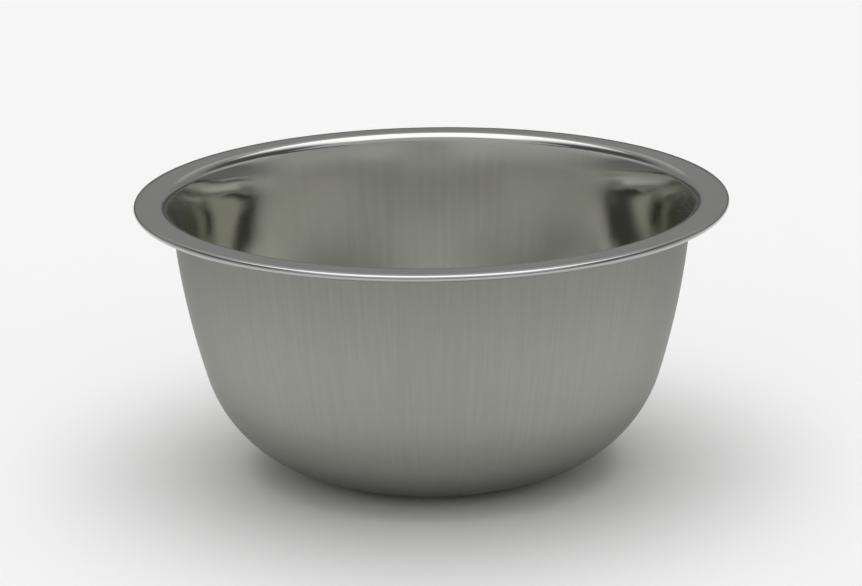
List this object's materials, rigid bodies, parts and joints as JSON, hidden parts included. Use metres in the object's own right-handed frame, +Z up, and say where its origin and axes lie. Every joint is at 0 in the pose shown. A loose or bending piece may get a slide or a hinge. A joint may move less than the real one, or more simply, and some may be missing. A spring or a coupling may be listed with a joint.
{
  "type": "salad bowl",
  "caption": "Deep round salad bowl pressed from one steel sheet, with a barrelled wall that flares a little at the top, a large bottom round, a flat base and a level rim with a rolled edge.",
  "frame": {"origin": "middle of the flat base, on the surface that the bowl stands on", "axes": "+Z up along the bowl's axis, +X and +Y in the plane that it stands on; the bowl is the same all the way round, and the picture looks along +Y"},
  "size_m": [0.28, 0.28, 0.131],
  "materials": {
    "steel": "satin stainless steel, brushed along the draw outside and brighter inside"
  },
  "bodies": {
    "root": {"bowl_shell": "steel"}
  },
  "joints": []
}
